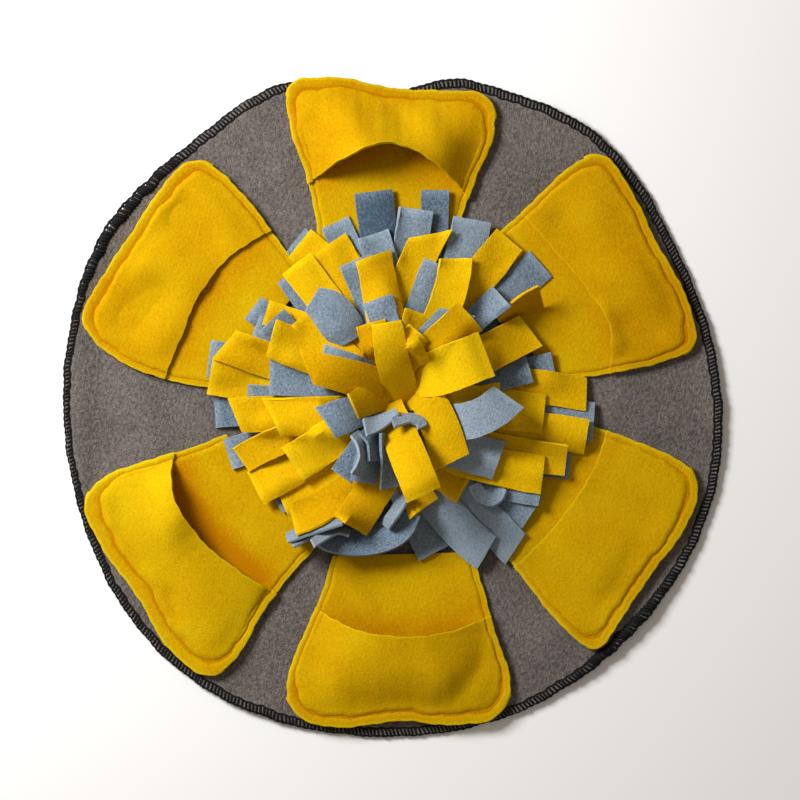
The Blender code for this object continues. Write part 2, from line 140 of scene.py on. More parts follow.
# %% Node group for the nap
def feed(tree, value, socket):
    """Gives a socket a number or the output of another node."""
    if isinstance(value, (int, float)):
        socket.default_value = value
    else:
        tree.links.new(value, socket)


def math_node(tree, operation, first, second):
    node = tree.nodes.new("ShaderNodeMath")
    node.operation = operation
    feed(tree, first, node.inputs[0])
    feed(tree, second, node.inputs[1])
    return node.outputs[0]


def noise_node(tree, vector, scale, detail, roughness, distortion):
    node = tree.nodes.new("ShaderNodeTexNoise")
    set_inputs(node, {"Detail": detail, "Roughness": roughness, "Distortion": distortion})
    tree.links.new(vector, node.inputs["Vector"])
    feed(tree, scale, node.inputs["Scale"])
    return node.outputs["Fac"]


NAP_DIRECTION = 38.0
NAP_STRETCH = 0.75
FIBRES_PER_CLUMP = 2.3
PATCHES_PER_METRE = 26.0
CLUMP_SHARE = 0.55


def make_nap_group():
    group = bpy.data.node_groups.new("fleece_nap", "ShaderNodeTree")
    for name, way, kind in (
            ("Vector", "INPUT", "Vector"), ("Clumps per metre", "INPUT", "Float"),
            ("Contrast", "INPUT", "Float"), ("Brushing", "INPUT", "Float"),
            ("Shade", "OUTPUT", "Float"), ("Height", "OUTPUT", "Float")):
        group.interface.new_socket(name, in_out=way, socket_type="NodeSocket" + kind)
    given, made = group.nodes.new("NodeGroupInput"), group.nodes.new("NodeGroupOutput")
    combed = group.nodes.new("ShaderNodeMapping")
    set_inputs(combed, {"Rotation": (0.0, 0.0, math.radians(NAP_DIRECTION)),
                        "Scale": (1.0, NAP_STRETCH, 1.0)})
    group.links.new(given.outputs["Vector"], combed.inputs["Vector"])
    vector = combed.outputs["Vector"]
    clumps = noise_node(group, vector, given.outputs["Clumps per metre"], 2.0, 0.55, 0.5)
    fibre_scale = math_node(group, "MULTIPLY", given.outputs["Clumps per metre"], FIBRES_PER_CLUMP)
    fibres = noise_node(group, vector, fibre_scale, 2.0, 0.6, 1.0)
    patches = noise_node(group, given.outputs["Vector"], PATCHES_PER_METRE, 2.0, 0.5, 0.4)
    grain = math_node(group, "ADD", math_node(group, "MULTIPLY", clumps, CLUMP_SHARE),
                      math_node(group, "MULTIPLY", fibres, 1 - CLUMP_SHARE))
    centred = math_node(group, "MULTIPLY", math_node(group, "SUBTRACT", grain, 0.5),
                        given.outputs["Contrast"])
    drift = math_node(group, "MULTIPLY", math_node(group, "SUBTRACT", patches, 0.5),
                      given.outputs["Brushing"])
    shade = math_node(group, "ADD", math_node(group, "ADD", centred, drift), 0.5)
    group.links.new(shade, made.inputs["Shade"])
    group.links.new(grain, made.inputs["Height"])
    return group


nap_group = make_nap_group()
print("group:", nap_group.name, [item.name for item in nap_group.interface.items_tree])

# %% [markdown]
# ## Fleece and thread
#
# Each fleece mixes a dark and a light tone of its dye by the shade of the nap. The pile has no
# gloss, but light that grazes it catches the fibre tips, which is what the sheen is for. Sheen
# is one value for the whole cloth, so it is set on the shader's own socket. Each piece of cloth
# also carries a tone from place to place, which is partly painted light and shade. Most strips
# have a random tone of their own, because the two faces of fleece reflect a little differently;
# some are set lighter or darker as painted light and shade, and all have a painted highlight
# along their cut edges. A pocket has painted shade along its seam and in its mouth and a painted
# highlight at its raw edge, and the base is painted lighter along its flat rim.

# %% Fleece materials
Fleece = namedtuple("Fleece", "dark light clumps contrast brushing bump sheen")
FLEECES = {
    "yellow": Fleece((0.50, 0.19, 0.0), (0.70, 0.51, 0.004), 760, 1.5, 0.6, 1.2, 0.0),
    "yellow_strip": Fleece((0.50, 0.215, 0.0), (0.92, 0.60, 0.005), 800, 1.6, 0.4, 1.8, 0.0),
    "blue_strip": Fleece((0.05, 0.09, 0.14), (0.32, 0.405, 0.49), 800, 2.4, 0.4, 2.2, 0.15),
    "grey": Fleece((0.085, 0.073, 0.066), (0.245, 0.212, 0.196), 520, 3.4, 0.7, 4.5, 0.1),
}
NAP_DEPTH = 0.5 * MM
FLEECE_ROUGHNESS = 0.95
FLEECE_GLOSS = 0.02
SHEEN_ROUGHNESS = 0.6


def link_surface(tree, shader, look, shade, height, bump):
    """Mixes the two tones by the shade, and bumps the surface by the height."""
    mix = tree.nodes.new("ShaderNodeMix")
    mix.data_type = "RGBA"
    mix.clamp_factor = True
    set_inputs(mix, {"A": (*look.dark, 1.0), "B": (*look.light, 1.0)})
    tree.links.new(shade, mix.inputs["Factor"])
    tree.links.new(mix.outputs["Result"], shader.inputs["Base Color"])
    relief = tree.nodes.new("ShaderNodeBump")
    set_inputs(relief, bump)
    tree.links.new(height, relief.inputs["Height"])
    tree.links.new(relief.outputs["Normal"], shader.inputs["Normal"])


def fleece_material(name, look):
    material, tree, shader = new_material(name)
    place = tree.nodes.new("ShaderNodeTexCoord")
    nap = tree.nodes.new("ShaderNodeGroup")
    nap.node_tree = nap_group
    set_inputs(nap, {"Clumps per metre": look.clumps, "Contrast": look.contrast,
                     "Brushing": look.brushing})
    tree.links.new(place.outputs["Object"], nap.inputs["Vector"])
    # The tone attribute is added to the shade of the nap; it is partly painted light and shade.
    tone = tree.nodes.new("ShaderNodeAttribute")
    tone.attribute_name = "tone"
    shade = math_node(tree, "ADD", nap.outputs["Shade"], tone.outputs["Fac"])
    link_surface(tree, shader, look, shade, nap.outputs["Height"],
                 {"Strength": look.bump, "Distance": NAP_DEPTH})
    set_inputs(shader, {"Roughness": FLEECE_ROUGHNESS, "Specular IOR Level": FLEECE_GLOSS,
                        "Sheen Weight": look.sheen, "Sheen Roughness": SHEEN_ROUGHNESS})
    return material


materials = {name: fleece_material(name + "_fleece", look) for name, look in FLEECES.items()}
print("fleeces:", ", ".join(materials))

# %% [markdown]
# Woolly thread is crimped from fine fibres, so its shade changes in short turns along it. A small
# noise on the colour and a fine bump are enough at its width of a millimetre or two.

# %% Thread material
Thread = namedtuple("Thread", "dark light")
BLACK_THREAD = Thread((0.002, 0.002, 0.0025), (0.012, 0.012, 0.014))
TURNS_PER_METRE = 2400.0
TURN_BUMP = {"Strength": 0.5, "Distance": 0.2 * MM}
THREAD_SURFACE = {"Roughness": 0.8, "Specular IOR Level": 0.2}

thread, thread_tree, thread_shader = new_material("overlock_thread")
place = thread_tree.nodes.new("ShaderNodeTexCoord")
turns = noise_node(thread_tree, place.outputs["Object"], TURNS_PER_METRE, 2.0, 0.6, 0.5)
link_surface(thread_tree, thread_shader, BLACK_THREAD, turns, turns, TURN_BUMP)
set_inputs(thread_shader, THREAD_SURFACE)
materials["overlock_thread"] = thread
print("materials:", ", ".join(materials))

# %% [markdown]
# ## Sheets from grids
#
# Every piece of cloth is a grid of points that describes the underside of the sheet. A
# Solidify modifier thickens it upwards, and a small Bevel rounds the cut edge, since a cut edge
# of fleece is soft and never a sharp corner. One helper makes them all. Lengths are in
# millimetres until the mesh is made.

# %% Sheet helper
EDGE_ROUNDING = 0.55 * MM
EDGE_SEGMENTS = 2
EDGE_ANGLE = math.radians(50)
# Painted highlight along a strip's cut edges, where the fuzzy fibre catches the light.
CUT_EDGE_PAINTED_HIGHLIGHT = 0.3


def grid_faces(rows, columns, first):
    """Quads of a grid whose points are counted along the columns."""
    r, c = np.meshgrid(np.arange(rows - 1), np.arange(columns - 1), indexing="ij")
    corner = first + r * columns + c
    return np.stack([corner, corner + 1, corner + columns + 1, corner + columns], -1).reshape(-1, 4)


def mesh_object(name, points, faces, material):
    mesh = bpy.data.meshes.new(name)
    mesh.from_pydata((np.asarray(points) * MM).tolist(), [], [tuple(face) for face in faces])
    mesh.materials.append(material)
    mesh.shade_smooth()
    made = bpy.data.objects.new(name, mesh)
    scene.collection.objects.link(made)
    return made


def strip_tone(shape, level):
    """A strip's tone, with a painted highlight along its cut edges."""
    tone = np.full(shape, float(level))
    tone[:, [0, -1]] += CUT_EDGE_PAINTED_HIGHLIGHT
    tone[-1] += CUT_EDGE_PAINTED_HIGHLIGHT
    return tone


def store_tone(made, values):
    tone = made.data.attributes.new("tone", "FLOAT", "POINT")
    tone.data.foreach_set("value", np.concatenate(values))


def cloth_object(name, grids, thickness, material, tones):
    """One sheet for each grid, all in one object and thickened upwards."""
    points, faces, values = [], [], []
    count = 0
    for grid, tone in zip(grids, tones):
        rows, columns = grid.shape[:2]
        points.append(grid.reshape(-1, 3))
        faces.append(grid_faces(rows, columns, count))
        values.append(tone.ravel())
        count += rows * columns
    made = mesh_object(name, np.concatenate(points), np.concatenate(faces).tolist(), material)
    store_tone(made, values)
    thicken(made, thickness)
    return made


def thicken(sheet, thickness):
    solidify = sheet.modifiers.new("Thickness", "SOLIDIFY")
    solidify.thickness = thickness * MM
    solidify.offset = 1.0
    bevel = sheet.modifiers.new("Soft edge", "BEVEL")
    bevel.width = EDGE_ROUNDING
    bevel.segments = EDGE_SEGMENTS
    bevel.limit_method = "ANGLE"
    bevel.angle_limit = EDGE_ANGLE


print("sheet helper ready")

# %% [markdown]
# ## Curves through a few values
#
# The outlines are given by a few measured values each. A smooth curve runs through them, and
# bell-shaped waves are added where the rim buckles. These are the same rules as in the
# construction, so the fine cloth lies on the plain solids.

# %% Curves and waves
def smooth_step(value):
    value = np.clip(value, 0.0, 1.0)
    return value * value * (3.0 - 2.0 * value)


def through(stations, values, at):
    """A smooth curve through the values, read at many places; it is level past its ends."""
    stations, values = np.asarray(stations, float), np.asarray(values, float)
    at = np.clip(at, stations[0], stations[-1])
    k = np.clip(np.searchsorted(stations, at, side="right") - 1, 0, len(stations) - 2)
    step = stations[k + 1] - stations[k]
    t = (at - stations[k]) / step
    last = len(stations) - 1

    def slope(i):
        low, high = np.maximum(i - 1, 0), np.minimum(i + 1, last)
        return (values[high] - values[low]) / (stations[high] - stations[low]) * step

    return ((2 * t ** 3 - 3 * t ** 2 + 1) * values[k] + (t ** 3 - 2 * t ** 2 + t) * slope(k)
            + (3 * t ** 2 - 2 * t ** 3) * values[k + 1] + (t ** 3 - t ** 2) * slope(k + 1))


def wave_sum(waves, azimuth):
    """The sum of the waves at azimuths in degrees; each is a middle, an amount and a spread."""
    total = np.zeros_like(azimuth)
    for middle, amount, spread in waves:
        away = (azimuth - middle + 180.0) % 360.0 - 180.0
        total += amount * np.exp(-0.5 * (away / spread) ** 2)
    return total


def ripple(at, seed, lengths=(3.1, 7.3, 17.0)):
    """A gentle unevenness from -1 to 1, as a hand-cut edge has; at is in millimetres."""
    return sum(np.sin(at * 2 * math.pi / length + seed * (k + 1.7)) for k, length in
               enumerate(lengths)) / len(lengths)


print("through(0, 5, 8) at the middle:", float(through((0, 1, 2), (0, 5, 8), 1.0)))

# %% [markdown]
# ## The base
#
# The base is one flat round of thick fleece. Its rim isn't a true circle: the overlocking has
# stretched it, so it waves in and out, curls off the floor in places, and is buckled in behind
# the top pocket. The cloth between the pockets has a few low, soft folds. It could be a
# subdivided circle with a displacement, but a grid of rings keeps full control of the rim, where
# most of the shape is.

# %% Base sheet
BASE_RADIUS = 227.0
BASE_THICKNESS = 3.0
RIM_CURL_START = 196.0
RIM_WAVES = (
    (56, 7.0, 15), (76, 3.5, 6), (93, -15.0, 7), (109, 8.0, 8), (13, -3.0, 16), (150, 4.0, 9),
    (190, -2.5, 14), (230, 4.5, 16), (272, -2.0, 14), (312, -2.0, 14), (344, 1.5, 12),
    (30, -4.0, 10), (71, -3.5, 6),
)
RIM_CURLS = (
    (93, 5.0, 9), (146, 4.0, 14), (178, 2.5, 12), (245, 2.0, 8), (316, 4.0, 12), (2, 2.5, 12),
    (62, 2.5, 9),
)
BASE_FOLDS = (
    (-176, 6, -166, -18, 13, 2.6), (-212, 30, -214, -40, 9, 2.2), (-138, -6, -126, -14, 10, 1.4),
    (-126, 178, -70, 148, 9, 2.2), (-98, 200, -78, 176, 7, 1.8), (-60, 196, -72, 160, 8, 1.6),
    (66, 186, 116, 170, 12, 2.2), (72, 150, 100, 128, 10, 1.6), (166, 2, 200, -14, 14, 1.6),
    (150, -8, 158, 20, 9, 1.2), (-110, -170, -76, -150, 12, 1.6), (84, -196, 110, -160, 12, 1.4),
)
BASE_RINGS = 60
BASE_SPOKES = 480
THREAD_ROOM = 1.7
RIM_UNEVEN = 0.6
CUT_UNEVEN = 0.35
ROLLED_EDGE = ((145, 3.4, 9), (316, 2.6, 8))
FULLY_ROLLED = 2.0
# Painted light: the grey cloth along the flat rim, where it shows between the stitches, is made
# lighter.
RIM_PAINTED_LIGHT = 0.15
RIM_PAINTED_LIGHT_WIDTH = 5.0
RIM_PAINTED_LIGHT_FADE = 2.0


def along_rim(azimuth):
    """Degrees as millimetres round the rim."""
    return azimuth * BASE_RADIUS * math.pi / 180


def rolled_share(azimuth):
    """How far the edge has rolled, from 0 to 1."""
    return np.clip(wave_sum(ROLLED_EDGE, azimuth) / FULLY_ROLLED, 0, 1)


def polar(radius, azimuth):
    """Plan place at a radius, with the azimuth in degrees."""
    return radius * np.cos(np.radians(azimuth)), radius * np.sin(np.radians(azimuth))


def rim_radius(azimuth):
    """Where the cloth ends; the thread round it takes the last of the width."""
    uneven = RIM_UNEVEN * ripple(along_rim(azimuth), 0.5, (19.0, 31.0, 53.0))
    return BASE_RADIUS - THREAD_ROOM + wave_sum(RIM_WAVES, azimuth) + uneven


def fold_height(folds, x, y):
    """The sum of the folds; each has its two ends (x0, y0) and (x1, y1), a width and a height."""
    total = np.zeros_like(x)
    for x0, y0, x1, y1, width, height in folds:
        run_x, run_y = x1 - x0, y1 - y0
        length = math.hypot(run_x, run_y)
        share = ((x - x0) * run_x + (y - y0) * run_y) / length ** 2
        past = np.maximum(np.abs(share - 0.5) - 0.5, 0.0) * length
        off = ((x - x0) * run_y - (y - y0) * run_x) / length
        total += height * np.exp(-(off / width) ** 2 - (past / (1.4 * width)) ** 2)
    return total


def base_lift(x, y):
    """How far the cloth is off the floor: its soft folds, and the rim where it curls up."""
    radius = np.hypot(x, y)
    along = np.clip((radius - RIM_CURL_START) / (BASE_RADIUS - RIM_CURL_START), 0.0, 1.2)
    curl = wave_sum(RIM_CURLS, np.degrees(np.arctan2(y, x))) * along ** 2
    return curl + fold_height(BASE_FOLDS, x, y)


def make_base():
    azimuth = np.linspace(0, 360, BASE_SPOKES, endpoint=False)
    share = np.sin(np.linspace(0, math.pi / 2, BASE_RINGS + 1))[1:]
    edge = rim_radius(azimuth) + CUT_UNEVEN * ripple(along_rim(azimuth), 2.0)
    radius = share[:, None] * edge[None, :]
    x, y = polar(radius, azimuth)
    rings = np.stack([x, y, base_lift(x, y)], -1).reshape(-1, 3)
    points = np.concatenate([[[0.0, 0.0, 0.0]], rings])
    beside = (np.arange(BASE_SPOKES) + 1) % BASE_SPOKES
    faces = [(0, 1 + k, 1 + beside[k]) for k in range(BASE_SPOKES)]
    for ring in range(BASE_RINGS - 1):
        inner, outer = 1 + ring * BASE_SPOKES, 1 + (ring + 1) * BASE_SPOKES
        faces += [(inner + k, outer + k, outer + beside[k], inner + beside[k])
                  for k in range(BASE_SPOKES)]
    base = mesh_object("base_cloth", points, faces, materials["grey"])
    inside = (edge[None, :] - radius).ravel()
    flat_edge = 1 - np.tile(rolled_share(azimuth), BASE_RINGS)
    # Painted light along the flat rim, fading inwards.
    rim_painted_light = RIM_PAINTED_LIGHT * flat_edge * smooth_step(1 - (inside - RIM_PAINTED_LIGHT_WIDTH) / RIM_PAINTED_LIGHT_FADE)
    store_tone(base, [[0.0], rim_painted_light])
    thicken(base, BASE_THICKNESS)
    return base


base = make_base()
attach(base, "root")
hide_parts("base")

# %% [markdown]
# ## Tubes for threads
#
# A thread is a thin tube along a short path. Hundreds of curve objects would be slow, so the
# tubes are swept in numpy: at each point of a path a ring is laid across it. All threads of one
# kind become one mesh.

# %% Tube helper
TUBE_SIDES = 5


def sweep_tubes(paths, radius, flatness=1.0):
    """Closed tubes along paths of equal length; paths has the shape (tubes, points, 3)."""
    paths = np.asarray(paths, float)
    along = np.gradient(paths, axis=1)
    along /= np.linalg.norm(along, axis=2, keepdims=True) + 1e-9
    up = np.zeros_like(along)
    up[..., 2] = 1.0
    steep = np.abs(along[..., 2]) > 0.9
    up[steep] = (1.0, 0.0, 0.0)
    across = np.cross(along, up)
    across /= np.linalg.norm(across, axis=2, keepdims=True)
    over = np.cross(across, along)
    sides = TUBE_SIDES
    turn = np.arange(sides) * 2 * math.pi / sides
    rings = (paths[:, :, None, :]
             + radius * np.cos(turn)[None, None, :, None] * across[:, :, None, :]
             + radius * flatness * np.sin(turn)[None, None, :, None] * over[:, :, None, :])
    tubes, length = paths.shape[:2]
    faces = []
    for tube in range(tubes):
        start = tube * length * sides
        for k in range(length - 1):
            near, far = start + k * sides, start + (k + 1) * sides
            for s in range(sides):
                t = (s + 1) % sides
                faces.append((near + s, near + t, far + t, far + s))
        faces.append(tuple(range(start + sides - 1, start - 1, -1)))
        last = start + (length - 1) * sides
        faces.append(tuple(range(last, last + sides)))
    return rings.reshape(-1, 3), faces


print("one tube has", len(sweep_tubes([[(0, 0, 0), (1, 0, 0), (2, 0, 0)]], 0.3)[1]), "faces")

# %% [markdown]
# ## The overlocked edge
#
# An overlock machine throws thick woolly thread over the cut edge, a stitch every 2.6 mm, and
# the grey cloth shows between the stitches like the gaps of a ladder. Each stitch here is a
# flat thread that lies across the edge on a slant and wraps round it. One thread runs along the
# very edge, where the loops lock together, and a chain of loops along the needle holes. At two
# places the edge has rolled up and the loops fan out and lie thicker.

# %% Overlock stitches
STITCH_PITCH = 2.62
STITCH_WIDTH = 4.7
THREAD_RADIUS = 0.8
THREAD_FLATNESS = 0.6
EDGE_THREAD_RADIUS = 0.95
CHAIN_RADIUS = 0.75
STITCH_SLANT = 1.1
STITCH_UNEVEN = 0.45
NARROW_EDGE = ((184, -1.7, 22),)
STITCH_COUNT = int(2 * math.pi * BASE_RADIUS / STITCH_PITCH)
STITCH_AZIMUTHS = np.arange(STITCH_COUNT) * 360.0 / STITCH_COUNT
THICKER = 0.6


def rim_place(azimuth, inwards):
    """Plan place at a distance in from the rim."""
    return polar(rim_radius(azimuth) - inwards, azimuth)


def stitch_width(azimuth):
    """How far in the stitches reach."""
    uneven = STITCH_UNEVEN * ripple(along_rim(azimuth), 4.0, (8.7, 17.9, 41.0))
    rolled = wave_sum(ROLLED_EDGE, azimuth)
    return STITCH_WIDTH + 0.2 * rolled + wave_sum(NARROW_EDGE, azimuth) + uneven


def overlock_paths():
    """Each stitch from its needle hole, over the edge and round it."""
    azimuth = STITCH_AZIMUTHS
    rolled = wave_sum(ROLLED_EDGE, azimuth)
    fan = ripple(along_rim(azimuth), 1.0, (14.0, 25.0))
    slant = (STITCH_SLANT + (0.5 + 0.3 * rolled) * fan) * azimuth[1]
    width = stitch_width(azimuth) + rolled * 0.3 * (1 + fan)
    top = BASE_THICKNESS - 0.1
    stations = (  # share of the width in from the rim, height over the cloth's underside, slant
        (1.0, top, 0.0), (0.8, top + 0.35, 0.1), (0.5, top + 0.45, 0.25),
        (0.2, top + 0.4, 0.42), (-0.04, top - 0.2, 0.55), (-0.12, 1.6, 0.62), (-0.08, 0.75, 0.66))
    paths = []
    for share, height, turn in stations:
        x, y = rim_place(azimuth + slant * turn, width * share)
        swell = 0.35 * rolled * math.sin(math.pi * max(share, 0.0))
        paths.append(np.stack([x, y, base_lift(x, y) + height + swell], -1))
    return np.stack(paths, 1)


def edge_thread_path(count):
    """The thread along the very edge, looped outwards in lumps where the edge has rolled."""
    azimuth = np.linspace(0, 360, count + 1)
    lumps = wave_sum(ROLLED_EDGE, azimuth) * np.abs(np.sin(azimuth * 0.78))
    x, y = rim_place(azimuth, -0.35 + 0.3 * np.sin(azimuth * 5.0) - 0.35 * lumps)
    height = 1.9 + 0.35 * np.sin(azimuth * 3.0)
    return np.stack([x, y, base_lift(x, y) + height], -1)[None]


def chain_path(count):
    """The chain of loops at the needle holes, a stitch's width in from the edge."""
    azimuth = np.linspace(0, 360, count + 1)
    x, y = rim_place(azimuth, stitch_width(azimuth) + 0.25 * np.sin(azimuth * 272))
    height = BASE_THICKNESS + 0.1 + 0.2 * np.sin(azimuth * 136)
    return np.stack([x, y, base_lift(x, y) + height], -1)[None]


stitches = overlock_paths()
thread_radii = THREAD_RADIUS * (1 + THICKER * rolled_share(STITCH_AZIMUTHS))
thread_points, thread_faces = [], []
for tube_points, tube_faces in (
        sweep_tubes(stitches, thread_radii[:, None, None, None], flatness=THREAD_FLATNESS),
        sweep_tubes(edge_thread_path(900), EDGE_THREAD_RADIUS),
        sweep_tubes(chain_path(1400), CHAIN_RADIUS, flatness=THREAD_FLATNESS)):
    thread_faces += [tuple(i + len(thread_points) for i in face) for face in tube_faces]
    thread_points += tube_points.tolist()
overlock = mesh_object(
    "overlock_edge", thread_points, thread_faces, materials["overlock_thread"])
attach(overlock, "root")
print(f"overlock: {len(stitches)} stitches")

# %% [markdown]
# ## Pockets
#
# A pocket is a back panel, sewn flat on the base, and a flap over its outer half. They are sewn
# together 3 to 8 mm in from their raw edges, so the cloth lies pressed outside the seam and
# rises inside it like a pillow. Where the flap is eased in, it stands open at its mouth and has
# a soft belly behind it. Each pocket is described in its own directions, out from the middle of
# the mat and across, by a handful of measured widths and lengths.

# %% Pocket sizes
INNER_OUT = 100.0
SEAM_WIDTH = 7.0
END_SEAM = 5.6
OTHER_END_SEAMS = {"lower_left": 8.0, "upper_right": 4.4, "lower_right": 5.0}
SIDE_SEAM = 3.3
SEAM_CORNER = 1.15
SEAM_WANDER = 0.15
RAW_EDGE = 0.5
RAW_EDGE_WAVES = (9.0, 17.0, 31.0)
PANEL_THICKNESS = 2.0
LAYER_GAP = 0.35
SIDE_OUTS = (100, 130, 160, 185, 205)
ACROSS = (-1.0, -0.5, 0.0, 0.5, 1.0)
Pocket = namedtuple(
    "Pocket", "name bearing left right end mouth corners mouth_rise belly_rise lean")
POCKETS = (
    Pocket("top", 89.2, (50, 54, 61, 70, 74), (42, 45, 55, 65, 66.5),
           (222, 223.5, 217, 215.5, 216), (152, 168, 178, 165, 143), (11, 18), 33, 17, 0.55),
    Pocket("upper_left", 142.9, (60, 75, 84.5, 86, 80), (34, 43, 51.5, 56, 56.5),
           (207, 211, 213, 215, 213), (136, 144, 151.5, 150, 139), (9, 16), 0.54, 3, -0.1),
    Pocket("lower_left", 218.7, (41, 46, 54, 64.5, 67), (56, 66, 78, 85, 81),
           (215, 221, 215.5, 214, 207), (141, 151, 157, 153.5, 136), (14, 10), 11.55, 2.1, -0.4),
    Pocket("bottom", 271.6, (51, 59, 66, 74, 72), (43, 53, 67, 76, 74),
           (213, 216.5, 212.5, 216, 211), (144, 153.5, 155, 149, 135), (16, 16), 17, 9.75, 0),
    Pocket("lower_right", 327.7, (55, 63.5, 69.5, 73, 69), (38, 47, 58, 65, 66),
           (206, 211.5, 209, 208, 208), (132, 138, 138, 134.5, 128), (13, 10), 0.4, 0.9, 0),
    Pocket("upper_right", 34.0, (50, 58, 62, 67, 67), (45, 60, 72.5, 80, 82),
           (217, 216.5, 211, 208, 197), (147, 151, 155, 153, 136), (14, 12), 0.5, 4.5, -0.15),
)


def side_width(pocket, out, across):
    """The distance to the left of the bearing, across from -1 (right) to 1 (left)."""
    left = through(SIDE_OUTS, pocket.left, out)
    right = through(SIDE_OUTS, pocket.right, out)
    return (left - right) / 2 + across * (left + right) / 2


def end_out(pocket, across):
    """Where the outer end lies, with its two corners rounded."""
    out = through(ACROSS, pocket.end[::-1], across)
    corner = np.where(across > 0, pocket.corners[0], pocket.corners[1])
    half = (pocket.left[-1] + pocket.right[-1]) / 2
    into = np.clip((np.abs(across) * half - (half - corner)) / corner, 0.0, 1.0)
    return out - corner * (1 - np.sqrt(1 - into * into))


def pocket_place(pocket, across, along, start):
    """Plan place on a pocket piece, its distance to the raw edge in millimetres and as a share
    of the border outside the seam, and the half width there."""
    last = end_out(pocket, across)
    last = last + RAW_EDGE * ripple(across * 70.0, pocket.bearing + 1.0, RAW_EDGE_WAVES)
    out = start + (last - start) * along
    wander = across * RAW_EDGE * ripple(out, pocket.bearing, RAW_EDGE_WAVES)
    left = side_width(pocket, out, across) + wander
    half = (side_width(pocket, out, 1.0) - side_width(pocket, out, -1.0)) / 2
    to_side = np.maximum((1 - np.abs(across)) * half, 1e-3)
    to_end = np.maximum((1 - along) * (last - start), 1e-3)
    to_edge = (to_side ** -3 + to_end ** -3) ** (-1 / 3)
    uneven = 1 + SEAM_WANDER * ripple(out + left, pocket.bearing, (23.0, 41.0, 67.0))
    end_seam = OTHER_END_SEAMS.get(pocket.name, END_SEAM)
    border = ((to_side / SIDE_SEAM) ** -SEAM_CORNER
              + (to_end / end_seam) ** -SEAM_CORNER) ** (-1 / SEAM_CORNER) * uneven
    bearing = math.radians(pocket.bearing)
    x = out * math.cos(bearing) - left * math.sin(bearing)
    y = out * math.sin(bearing) + left * math.cos(bearing)
    return x, y, to_edge, border, half


def panel_height(x, y):
    return BASE_THICKNESS + LAYER_GAP + base_lift(x, y)


print("pockets:", ", ".join(pocket.name for pocket in POCKETS))

# %% [markdown]
# ### Folds
#
# Cloth that is lifted at one place and held at another makes folds between them. Each is a soft
# ridge, or a trough where its height is negative, along a straight line between two points. They
# are placed where the light and shade of the flaps show them.

# %% Fold rules
FOLDS = {
    "top": (
        (-30, 206, -18, 172, 9, 2.0), (22, 205, 33, 176, 10, 2.2), (4, 208, 6, 192, 9, -3.0),
        (-52, 196, -34, 178, 7, -2.0),
    ),
    "upper_left": (
        (-176, 64, -162, 78, 13, -4.0), (-150, 136, -132, 120, 14, -4.0),
        (-168, 100, -138, 88, 13, 2.5), (-132, 158, -112, 132, 10, 2.0),
        (-158, 44, -150, 54, 9, 1.5),
    ),
    "lower_left": (
        (-147, -42, -148, -72, 13, 8.0), (-144, -90, -120, -158, 16, 2.5),
        (-188, -75, -178, -104, 9, -2.0), (-151, -130, -148, -142, 6, -1.8),
    ),
    "bottom": (
        (66, -168, 46, -192, 9, -2.5), (8, -172, 26, -180, 22, 3.0), (24, -164, 34, -182, 8, 1.2),
        (-56, -168, -50, -186, 9, -1.5),
    ),
    "lower_right": (
        (118, -96, 150, -116, 13, 2.0), (140, -62, 168, -74, 12, -2.0),
        (150, -128, 160, -110, 10, -1.6),
    ),
    "upper_right": (
        (144, 62, 156, 30, 7, 3.0), (120, 124, 146, 108, 12, -2.0), (150, 92, 176, 84, 14, 2.4),
        (166, 58, 180, 50, 9, -2.0),
    ),
}

print("folds:", sum(len(folds) for folds in FOLDS.values()))

# %% [markdown]
# ### Back panels and flaps
#
# The height of each piece is built up from what the maker did: where it lies, how far it stands
# off, the groove of the stitches, the pillow inside them and the folds. A finer grid towards the
# edges keeps the border crisp. The border also gives the tone, as painted light and shade: a
# little painted shade where it is pressed outside the seam and more in the groove, a painted
# highlight at the raw edge, and painted shade where the mouth stands open over the back panel.
# Each flap is also painted a little lighter or darker as a whole.

# %% Pocket cloth
PUFF = 0.25
GROOVE = 1.1
GROOVE_WIDTH = 1.0
PILLOW = 1.5
# Painted light and shade of the border: shade outside the seam and in its groove, a highlight of
# lit fibre at the raw edge.
BORDER_PAINTED_SHADE = -0.05
GROOVE_PAINTED_SHADE = -0.45
RAW_EDGE_PAINTED_HIGHLIGHT = 0.35
ARCH_POWER = {"lower_left": 0.5}
# Painted light and shade: the top and both upper flaps are made a little darker, the lower left one
# a little lighter.
FLAP_PAINTED_LIGHT_AND_SHADE = {"top": -0.1, "upper_left": -0.1, "upper_right": -0.1, "lower_left": 0.1}
MOUTH_SHADE = {"lower_left": -1.0, "lower_right": -0.1, "upper_right": -0.1}
USUAL_MOUTH_SHADE = -0.35
MOUTH_SHADE_REACH = 14.0
MOUTH_EDGE_SCALE = 60.0
PANEL_GRID = (80, 100)
FLAP_GRID = (96, 130)
PANEL_RISE = 0.9
PANEL_CUT_END, FLAP_CUT_END = 215, 220


def finer_at_ends(count):
    return np.sin(np.linspace(-math.pi / 2, math.pi / 2, count))


def pocket_shares(rows, columns):
    """Shares along and across a pocket piece, finer towards its raw edges."""
    return np.meshgrid(np.sin(np.linspace(0, math.pi / 2, rows)), finer_at_ends(columns),
                       indexing="ij")


def border_height(border, around, seed):
    """The border outside the seam, its groove and the pillow inside; border is 1 on the seam."""
    uneven = 1 + 0.25 * ripple(around, seed, (11.0, 19.0, 34.0))
    puff = PUFF * uneven * np.sin(math.pi * np.clip(border, 0, 1)) ** 0.7
    groove = GROOVE * np.exp(-((border - 1) * END_SEAM / GROOVE_WIDTH) ** 2)
    return puff - groove + PILLOW * smooth_step((border - 1) / 0.6)


